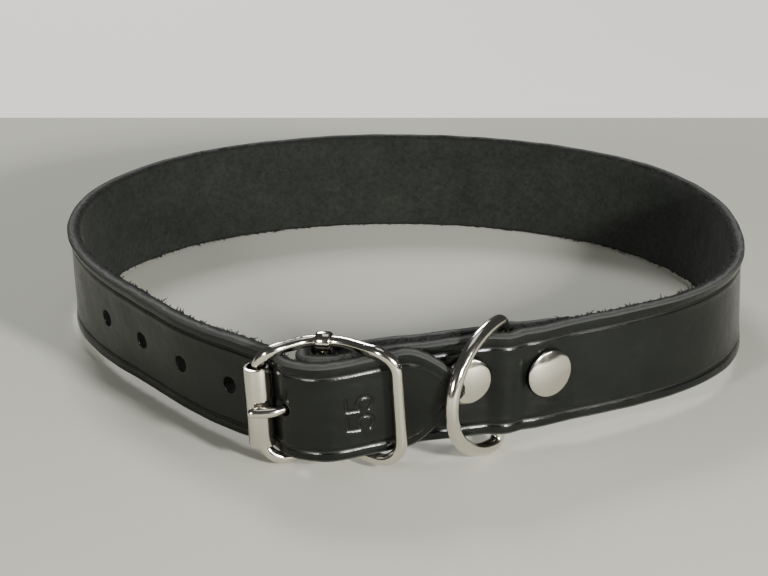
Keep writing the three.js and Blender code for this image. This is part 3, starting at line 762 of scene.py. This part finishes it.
def lathe(profile, sides):
    """Points and faces turned round the z axis from (radius, height) rows; radius 0 closes it."""
    points = []
    rings = []
    for radius, height in profile:
        if radius == 0:
            rings.append([len(points)])
            points.append((0, 0, height))
            continue
        rings.append(list(range(len(points), len(points) + sides)))
        turns = np.arange(sides) * 2 * np.pi / sides
        points.extend((radius * math.cos(t), radius * math.sin(t), height) for t in turns)
    faces = []
    for low, high in zip(rings, rings[1:]):
        for k in range(sides):
            n = (k + 1) % sides
            if len(low) == 1:
                faces.append((low[0], high[n], high[k]))
            elif len(high) == 1:
                faces.append((low[k], low[n], high[0]))
            else:
                faces.append((low[k], low[n], high[n], high[k]))
    return np.array(points), faces


def join(*parts):
    """One set of points and faces from several."""
    points, faces, start = [], [], 0
    for part_points, part_faces in parts:
        points.append(part_points)
        faces.extend(tuple(v + start for v in face) for face in part_faces)
        start += len(part_points)
    return np.concatenate(points), faces


def catmull(points, steps):
    """Centripetal Catmull-Rom curve through points."""
    points = np.asarray(points, float)
    points = np.vstack([2 * points[0] - points[1], points, 2 * points[-1] - points[-2]])
    out = []
    for a, b, c, d in zip(points, points[1:], points[2:], points[3:]):
        t1 = np.linalg.norm(b - a) ** 0.5
        t2 = t1 + np.linalg.norm(c - b) ** 0.5
        t3 = t2 + np.linalg.norm(d - c) ** 0.5
        for t in np.linspace(t1, t2, steps, endpoint=False):
            ab = (t1 - t) / t1 * a + t / t1 * b
            bc = (t2 - t) / (t2 - t1) * b + (t - t1) / (t2 - t1) * c
            cd = (t3 - t) / (t3 - t2) * c + (t - t2) / (t3 - t2) * d
            left = (t2 - t) / t2 * ab + t / t2 * bc
            right = (t3 - t) / (t3 - t1) * bc + (t - t1) / (t3 - t1) * cd
            out.append((t2 - t) / (t2 - t1) * left + (t - t1) / (t2 - t1) * right)
    out.append(points[-2])
    return np.array(out)


def even(path, count):
    """A closed path resampled to even steps."""
    path = np.vstack([path, path[:1]])
    run = np.concatenate([[0], np.cumsum(np.linalg.norm(np.diff(path, axis=0), axis=1))])
    at = np.arange(count) / count * run[-1]
    return np.stack([np.interp(at, run, path[:, k]) for k in range(path.shape[1])], 1)


def arc(centre, radii, start, end, steps=24):
    turns = np.radians(np.linspace(start, end, steps))
    return np.stack([centre[0] + radii[0] * np.cos(turns), centre[1] + radii[1] * np.sin(turns)], 1)


RAIL_ACROSS = BUCKLED_WIDTH / 2 + SIDE_CLEARANCE + WIRE / 2


def frame_path():
    """The buckle frame's wire, with side rails that bow in to the centre bar."""
    left, right, half, corner = ROLLER_BAR, FAR_BAR, RAIL_ACROSS, FRAME_CORNER
    radii = (corner, corner)
    outline = np.vstack([
        arc((right - corner, corner - half), radii, -90, 0),
        arc((right - corner, half - corner), radii, 0, 90),
        arc((left + corner, half - corner), radii, 90, 180),
        arc((left + corner, corner - half), radii, 180, 270),
    ])
    outline = even(outline, 260)
    along = outline[:, 0]
    end = np.where(along < 0, -ROLLER_BAR, FAR_BAR)
    out = np.where(along < 0, ROLLER_OUT, FAR_BAR_OUT)
    reach = end - 0.3 * FRAME_CORNER - RAIL_FLAT
    share = np.clip((np.abs(along) - RAIL_FLAT) / reach, 0, 1)
    height = BAR_HEIGHT + (out - BAR_HEIGHT) * (1 - np.cos(np.pi * share)) / 2
    return in_buckle(np.column_stack([outline, height]))


def ring_path():
    """The D-ring's wire: a straight side with round corners, and half an ellipse."""
    half = (RING_INNER_HEIGHT + RING_WIRE) / 2
    bow = RING_DEPTH - RING_CORNER
    corner = (RING_CORNER, RING_CORNER)
    outline = even(np.vstack([
        arc((RING_CORNER, RING_CORNER - half), corner, 180, 270),
        arc((RING_CORNER, 0), (bow, half), -90, 90, 120),
        arc((RING_CORNER, half - RING_CORNER), corner, 90, 180),
    ]), 220)
    _, forward, out, up = (v[0] for v in NECK.frames(RING_PLACE))
    lean = math.radians(RING_LEAN)
    outward = out * math.cos(lean) - forward * math.sin(lean)
    pivot = place(RING_PLACE, RING_HEIGHT, -RING_DROP)
    return pivot + outline[:, :1] * outward + outline[:, 1:2] * up


def prong_path():
    """Round the centre bar, up through the used hole and over the roller."""
    eye = WIRE / 2 + RUNNING_GAP + PRONG_WIRE / 2
    crest = ROLLER_OUT + ROLLER_DIAMETER / 2 + GAP + PRONG_WIRE / 2
    points = []
    for i in range(10):
        turn = math.radians(-200 + 29 * i)
        points.append((eye * math.cos(turn), 0, BAR_HEIGHT + eye * math.sin(turn)))
    low = BAR_HEIGHT + eye
    rise = crest - low
    points += [
        (0, 0, low),
        (0.25 * ROLLER_BAR, 0, low + 0.12 * rise),
        (0.5 * ROLLER_BAR, 0, low + 0.47 * rise),
        (0.72 * ROLLER_BAR, 0, low + 0.86 * rise),
        (ROLLER_BAR, 0, crest),
        (ROLLER_BAR - 0.5 * PRONG_REACH, 0, crest),
        (ROLLER_BAR - PRONG_REACH, 0, crest - 0.1 * PRONG_WIRE),
    ]
    return in_buckle(catmull(points, 10))


def along_bar(points, along, out):
    """Turned points moved onto one of the buckle's bars, their axis across the strap."""
    return in_buckle(np.column_stack([points[:, 1] + along, points[:, 2], points[:, 0] + out]))


def make_nickel(material):
    """The buckle, the D-ring and the rivets as smooth metal."""
    pieces = {}

    def add(name, node, parts, body):
        piece = new_object(name, parts[0], parts[1], [material], body)
        piece.data.set_sharp_from_angle(angle=math.radians(38))
        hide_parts(node)
        pieces[node] = piece

    add("frame_wire", "buckle_frame", tube(frame_path(), WIRE / 2, 28, True), "collar")
    add("ring_wire", "d_ring", tube(ring_path(), RING_WIRE / 2, 32, True), "ring")

    path = prong_path()
    radius = np.full(len(path), PRONG_WIRE / 2)
    tip = np.linalg.norm(path - path[-1], axis=1)
    radius *= np.sqrt(np.clip(1 - (1 - np.clip(tip / 1.0, 0, 1)) ** 2, 0.12, 1))
    add("prong_wire", "prong", tube(path, radius, 24, False), "collar")

    outer, inner = ROLLER_DIAMETER / 2, ROLLER_DIAMETER / 2 - ROLLER_WALL
    half = ROLLER_LENGTH / 2
    edge = [(outer - 0.22, half), (outer - 0.06, half - 0.06), (outer, half - 0.22)]
    profile = [(inner, -half), *[(r, -z) for r, z in edge], *reversed(edge), (inner, half), (inner, -half)]
    points, faces = lathe(profile, 48)
    add("roller_tube", "roller", (along_bar(points, ROLLER_BAR, ROLLER_OUT), faces), "roller")

    near = WIRE / 2 + RUNNING_GAP
    far = near + EYELET_WALL
    reach = RAIL_ACROSS - (near + far) / 2
    points, faces = lathe([(0, -reach), (WIRE / 2, -reach), (WIRE / 2, reach), (0, reach)], 24)
    parts = [(along_bar(points, 0, BAR_HEIGHT), faces)]
    for side in (-1, 1):
        middle = (near + far) / 2
        turns = np.radians(np.arange(0, 361, 30))
        section = [
            (
                middle + (far - near) / 2 * math.cos(t),
                EYELET_LENGTH / 2 * np.sign(math.sin(t)) * abs(math.sin(t)) ** 0.6,
            )
            for t in turns
        ]
        points, faces = lathe([(r, h) for r, h in reversed(section)], 28)
        eyelet = np.column_stack([points[:, 2], points[:, 0] + side * RAIL_ACROSS, points[:, 1] + BAR_HEIGHT])
        parts.append((in_buckle(eyelet), faces))
    add("bar_and_eyelets", "centre_bar", join(*parts), "collar")

    for name in RIVET_PLACES:
        add(f"{name}_turned", name, rivet(name), "collar")
    return pieces


def rivet(name):
    """A rivet from its flat back to the domed cap, which leans with the leather."""
    cap, back, shank = RIVET_CAP / 2, RIVET_BACK / 2, RIVET_SHANK / 2
    along = RIVET_PLACES[name]
    back_face = -1.5 * GAP
    slope = float(base_top(along + cap) - base_top(along - cap)) / RIVET_CAP
    shares = np.array([-1, -0.5, 0, 0.5, 1])
    seat = GAP + float(np.max(base_top(along + shares * cap) - slope * shares * cap))
    low = back_face - RIVET_BACK_THICKNESS
    profile = [(0, low), (back - 0.5, low), (back - 0.15, low + 0.1), (back, low + 0.35), (back, back_face)]
    profile += [(shank, back_face), (shank, seat), (cap - 0.3, seat), (cap - 0.08, seat + 0.06)]
    profile += [(cap, seat + 0.18), (cap - 0.03, seat + 0.34), (cap - 0.15, seat + 0.46)]
    for share in (0.92, 0.84, 0.76, 0.66, 0.55, 0.44, 0.33, 0.22, 0.11):
        profile.append((share * cap, seat + 0.45 + (RIVET_DOME - 0.45) * (1 - share**2)))
    profile.append((0, seat + RIVET_DOME))
    points, faces = lathe(profile, 64)
    risen = np.clip((points[:, 2] - back_face) / (seat - back_face), 0, 1)
    points[:, 2] += slope * points[:, 0] * risen
    points[:, 1] += RIVET_ACROSS[name]
    origin, forward, out, up = (v[0] for v in NECK.frames(along))
    return origin + points[:, :1] * forward + points[:, 1:2] * up + points[:, 2:3] * out, faces


def nodes_of(material):
    material.use_nodes = True
    tree = material.node_tree
    tree.nodes.clear()
    output = tree.nodes.new("ShaderNodeOutputMaterial")
    shader = tree.nodes.new("ShaderNodeBsdfPrincipled")
    tree.links.new(shader.outputs["BSDF"], output.inputs["Surface"])
    return tree, shader


def noise(tree, vector, scale, detail=4.0, roughness=0.5):
    node = tree.nodes.new("ShaderNodeTexNoise")
    node.inputs["Scale"].default_value = scale
    node.inputs["Detail"].default_value = detail
    node.inputs["Roughness"].default_value = roughness
    tree.links.new(vector, node.inputs["Vector"])
    return node.outputs["Fac"]


def ramp(tree, value, *stops):
    """A ramp from value through (position, colour) stops; a colour may be one grey level."""
    node = tree.nodes.new("ShaderNodeValToRGB")
    while len(node.color_ramp.elements) < len(stops):
        node.color_ramp.elements.new(0.5)
    for element, (position, colour) in zip(node.color_ramp.elements, stops):
        element.position = position
        rgb = (colour,) * 3 if isinstance(colour, (int, float)) else colour
        element.color = (*rgb, 1)
    tree.links.new(value, node.inputs["Fac"])
    return node.outputs["Color"]


def mix(tree, factor, first, second):
    node = tree.nodes.new("ShaderNodeMix")
    node.data_type = "RGBA"
    for socket, value in ((node.inputs[0], factor), (node.inputs[6], first), (node.inputs[7], second)):
        if hasattr(value, "is_output"):
            tree.links.new(value, socket)
        elif isinstance(value, tuple):
            socket.default_value = (*value, 1)
        else:
            socket.default_value = value
    return node.outputs[2]


def bump(tree, shader, *layers):
    """Bump layers of (height, strength, distance in metres) chained into the shader's normal."""
    normal = None
    for height, strength, distance in layers:
        node = tree.nodes.new("ShaderNodeBump")
        node.inputs["Strength"].default_value = strength
        node.inputs["Distance"].default_value = distance
        tree.links.new(height, node.inputs["Height"])
        if normal is not None:
            tree.links.new(normal, node.inputs["Normal"])
        normal = node.outputs["Normal"]
    tree.links.new(normal, shader.inputs["Normal"])


def object_place(tree):
    return tree.nodes.new("ShaderNodeTexCoord").outputs["Object"]


def flat_place(tree):
    """Place on the flat strap in metres: along it, across it and through it."""
    node = tree.nodes.new("ShaderNodeAttribute")
    node.attribute_name = "flat_place"
    return node.outputs["Vector"]


def grain_material():
    material = bpy.data.materials.new("leather_grain")
    tree, shader = nodes_of(material)
    flat = flat_place(tree)
    cloud = noise(tree, flat, 60, 3)
    colour = ramp(tree, cloud, (0.3, (0.0024, 0.0032, 0.0026)), (0.7, (0.0046, 0.0057, 0.0047)))
    rough = ramp(tree, noise(tree, flat, 240, 5, 0.6), (0.3, 0.17), (0.75, 0.3))
    # Painted shade: where the stamped digits and edge creases are pressed in, the base colour is darkened to near
    # black and the roughness is raised.
    groove_shade_and_matte = tree.nodes.new("ShaderNodeAttribute")
    groove_shade_and_matte.attribute_name = "pressed"
    pressed = ramp(tree, groove_shade_and_matte.outputs["Fac"], (0.25, 0.0), (0.6, 1.0))
    tree.links.new(mix(tree, pressed, colour, (0.0008, 0.0009, 0.0008)), shader.inputs["Base Color"])
    tree.links.new(mix(tree, pressed, rough, (0.7, 0.7, 0.7)), shader.inputs["Roughness"])
    shader.inputs["Specular IOR Level"].default_value = 0.28
    pores = tree.nodes.new("ShaderNodeTexVoronoi")
    pores.inputs["Scale"].default_value = 2200
    tree.links.new(flat, pores.inputs["Vector"])
    bump(tree, shader, (noise(tree, flat, 420, 6, 0.65), 0.5, 0.00026), (pores.outputs["Distance"], 0.3, 0.00006))
    return material


def edge_material():
    material = bpy.data.materials.new("leather_cut_edge")
    tree, shader = nodes_of(material)
    flat = flat_place(tree)
    shader.inputs["Specular IOR Level"].default_value = 0.25
    split = tree.nodes.new("ShaderNodeSeparateXYZ")
    tree.links.new(flat, split.inputs[0])
    scaled = tree.nodes.new("ShaderNodeMapping")
    scaled.inputs["Scale"].default_value = (260, 900, 1400)
    tree.links.new(flat, scaled.inputs["Vector"])
    fibres = noise(tree, scaled.outputs["Vector"], 1, 5, 0.65)
    depth = tree.nodes.new("ShaderNodeMapRange")
    depth.inputs["From Min"].default_value = -0.00165
    depth.inputs["From Max"].default_value = 0.00165
    tree.links.new(split.outputs["Z"], depth.inputs["Value"])
    ragged = tree.nodes.new("ShaderNodeMath")
    ragged.operation = "MULTIPLY_ADD"
    tree.links.new(noise(tree, flat, 500, 4), ragged.inputs[0])
    ragged.inputs[1].default_value = 0.5
    tree.links.new(depth.outputs["Result"], ragged.inputs[2])
    # Darker towards the flesh side and again in a thin line at the grain corner, with a lighter band between.
    edge_tone_by_depth = ramp(tree, ragged.outputs[0], (0.6, 0.006), (0.78, 0.05), (1.12, 0.075), (1.2, 0.03))
    tint = mix(tree, fibres, (0.55, 0.62, 0.58), (1.25, 1.3, 1.2))
    node = tree.nodes.new("ShaderNodeMix")
    node.data_type = "RGBA"
    node.blend_type = "MULTIPLY"
    node.inputs[0].default_value = 1
    tree.links.new(edge_tone_by_depth, node.inputs[6])
    tree.links.new(tint, node.inputs[7])
    tree.links.new(node.outputs[2], shader.inputs["Base Color"])
    shader.inputs["Roughness"].default_value = 0.82
    bump(tree, shader, (fibres, 0.7, 0.0004))
    return material


def flesh_material():
    material = bpy.data.materials.new("leather_flesh_side")
    tree, shader = nodes_of(material)
    flat = flat_place(tree)
    shader.inputs["Specular IOR Level"].default_value = 0.08
    shader.inputs["Roughness"].default_value = 1.0
    shader.inputs["Sheen Weight"].default_value = 0.03
    shader.inputs["Sheen Roughness"].default_value = 0.5
    nap = noise(tree, flat, 900, 6, 0.7)
    patches = noise(tree, flat, 90, 4)
    colour = mix(tree, patches, (0.009, 0.0105, 0.009), (0.019, 0.0215, 0.018))
    shade = ramp(tree, nap, (0.3, 0.6), (0.75, 1.4))
    node = tree.nodes.new("ShaderNodeMix")
    node.data_type = "RGBA"
    node.blend_type = "MULTIPLY"
    node.inputs[0].default_value = 1
    tree.links.new(colour, node.inputs[6])
    tree.links.new(shade, node.inputs[7])
    tree.links.new(node.outputs[2], shader.inputs["Base Color"])
    bump(tree, shader, (nap, 0.8, 0.0004), (noise(tree, flat, 260, 4), 0.5, 0.0006))
    return material


def nickel_material():
    material = bpy.data.materials.new("polished_nickel")
    tree, shader = nodes_of(material)
    here = object_place(tree)
    shader.inputs["Metallic"].default_value = 1
    colour = mix(tree, noise(tree, here, 70, 3), (0.66, 0.63, 0.55), (0.75, 0.72, 0.635))
    tree.links.new(colour, shader.inputs["Base Color"])
    rough = ramp(tree, noise(tree, here, 320, 5, 0.6), (0.35, 0.10), (0.75, 0.2))
    tree.links.new(rough, shader.inputs["Roughness"])
    bump(tree, shader, (noise(tree, here, 450, 3), 0.08, 0.0003))
    return material


def make_strap(materials):
    built = StrapMesh()
    points, run, across, through = built.points()
    piece = new_object("strap_leather", points, built.faces, materials, "collar")
    mesh = piece.data
    flat = mesh.attributes.new("flat_place", "FLOAT_VECTOR", "POINT")
    flat.data.foreach_set("vector", (np.column_stack([run, across, through]) * 0.001).ravel())
    rows = np.array(built.rows, float)
    edge_like = (rows[:, 3] == 0) & (rows[:, 4] == 0)
    top_like = rows[:, 3] == 1
    inward = edge_distance(across)
    # Depth of the stamped digits and creases on the grain face; the grain material paints shade where it is high.
    pressed = mesh.attributes.new("pressed", "FLOAT", "POINT")
    depth = np.maximum(stamp_depth(run, across), 0.7 * crease_depth(run, across))
    pressed.data.foreach_set("value", depth * top_like)
    # Painted shade: the walls of the holes, the slot and the rivet bores take the dark flesh-side material
    # instead of the lighter cut-edge colour.
    in_hole = edge_like & (inward > 1) & (run > 1) & (run < LINE.length - 1)
    for polygon in mesh.polygons:
        vertices = list(polygon.vertices)
        if in_hole[vertices].any():
            polygon.material_index = 2
        # The rounded grain corner also takes the cut-edge material, which is rough and darker there.
        elif edge_like[vertices].any() or inward[vertices].mean() < 0.5:
            polygon.material_index = 1
        elif not top_like[vertices].any():
            polygon.material_index = 2
    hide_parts("strap")
    return piece


def make_hairs(material, seed=23):
    """Loose fibres of the flesh side that stand past both cut edges."""
    rng = np.random.default_rng(seed)
    parts = []
    count = 6500
    run = rng.uniform(2, LINE.length - 3, count)
    side = rng.choice([-1, 1], count)
    depth = rng.uniform(-1.62, -0.9, count)
    across = side * (STRAP_WIDTH / 2 - 0.15)
    root = strap_points(run, across, depth, np.zeros(count), np.ones(count))
    grain, up = LINE.at("grain", run), LINE.at("up", run)
    ahead = np.cross(up, grain)
    length = rng.gamma(1.4, 0.22, count).clip(0.15, 1.9)
    lean = rng.normal(0, 1.3, (count, 2))
    for k in range(count):
        toward = 0.8 * side[k] * up[k] - grain[k] * (0.25 + 0.3 * abs(lean[k, 0])) + ahead[k] * lean[k, 1]
        toward /= np.linalg.norm(toward)
        bend = ahead[k] * rng.normal(0, 0.35) - grain[k] * rng.normal(0.1, 0.3)
        steps = np.linspace(0, 1, 4)[:, None]
        path = root[k] + length[k] * (toward * steps + bend * steps**2)
        if stand(path)[:, 2].min() > 0.0001:
            parts.append(tube(path, np.array([0.2, 0.18, 0.13, 0.05]), 3, False))
    points, faces = join(*parts)
    return new_object("edge_fibres", points, faces, [material], "collar")


def stage_piece(name, points, faces, material):
    mesh = bpy.data.meshes.new(name)
    mesh.from_pydata(points, [], faces)
    mesh.materials.append(material)
    piece = bpy.data.objects.new(name, mesh)
    bpy.context.scene.collection.objects.link(piece)
    return piece


def plain_material(name, colour, roughness):
    material = bpy.data.materials.new(name)
    tree, shader = nodes_of(material)
    here = object_place(tree)
    shade = mix(tree, noise(tree, here, 6, 3), tuple(0.97 * c for c in colour), colour)
    tree.links.new(shade, shader.inputs["Base Color"])
    shader.inputs["Roughness"].default_value = roughness
    return material


def make_stage():
    far = 0.167  # where the pale paper begins
    floor = plain_material("floor_paper", (0.40, 0.403, 0.348), 0.8)
    pale = plain_material("pale_paper", (0.90, 0.88, 0.86), 0.9)
    wide = 3.0
    for name, near, end, paper in (("floor", -wide, far, floor), ("pale", far, wide, pale)):
        corners = [(-wide, near, 0), (wide, near, 0), (wide, end, 0), (-wide, end, 0)]
        stage_piece(name, corners, [(0, 1, 2, 3)], paper)


def area_light(name, place_at, target, size, power, colour=(1, 1, 1)):
    light = bpy.data.lights.new(name, "AREA")
    light.shape = "RECTANGLE"
    light.size, light.size_y = size
    light.energy = power
    light.color = colour
    lamp = bpy.data.objects.new(name, light)
    lamp.location = place_at
    lamp.rotation_euler = (Vector(target) - Vector(place_at)).to_track_quat("-Z", "Y").to_euler()
    bpy.context.scene.collection.objects.link(lamp)


def make_lights():
    world = bpy.data.worlds.new("studio")
    bpy.context.scene.world = world
    world.use_nodes = True
    background = world.node_tree.nodes["Background"]
    background.inputs["Color"].default_value = (0.95, 0.97, 1.0, 1)
    background.inputs["Strength"].default_value = 0.06
    area_light("key", (0.42, -0.63, 0.28), (0, 0, 0), (0.08, 0.08), 14, (1, 0.98, 0.95))
    area_light("left", (-0.45, -0.64, 0.27), (0, 0, 0), (0.12, 0.12), 5, (1, 0.98, 0.95))
    area_light("glint", (0.6, -0.46, 0.28), (0.04, -0.05, 0.01), (0.22, 0.02), 1.5, (1, 0.98, 0.95))
    area_light("top", (0, 0.02, 0.85), (0, 0.02, 0), (0.4, 0.4), 0.5)
    area_light("rear", (-0.2, 0.62, 0.6), (0, 0.1, 0), (0.25, 0.25), 5.5)


def make_camera():
    data = bpy.data.cameras.new("camera")
    data.sensor_width = 36
    data.lens = 155.6
    camera = bpy.data.objects.new("camera", data)
    camera.location = (-0.0049, -0.7774, 0.3356)
    camera.rotation_euler = (math.radians(67.5), 0, 0)
    bpy.context.scene.collection.objects.link(camera)
    bpy.context.scene.camera = camera


make_camera()
leather = [grain_material(), edge_material(), flesh_material()]
make_strap(leather)
make_hairs(leather[2])
make_nickel(nickel_material())
make_stage()
make_lights()
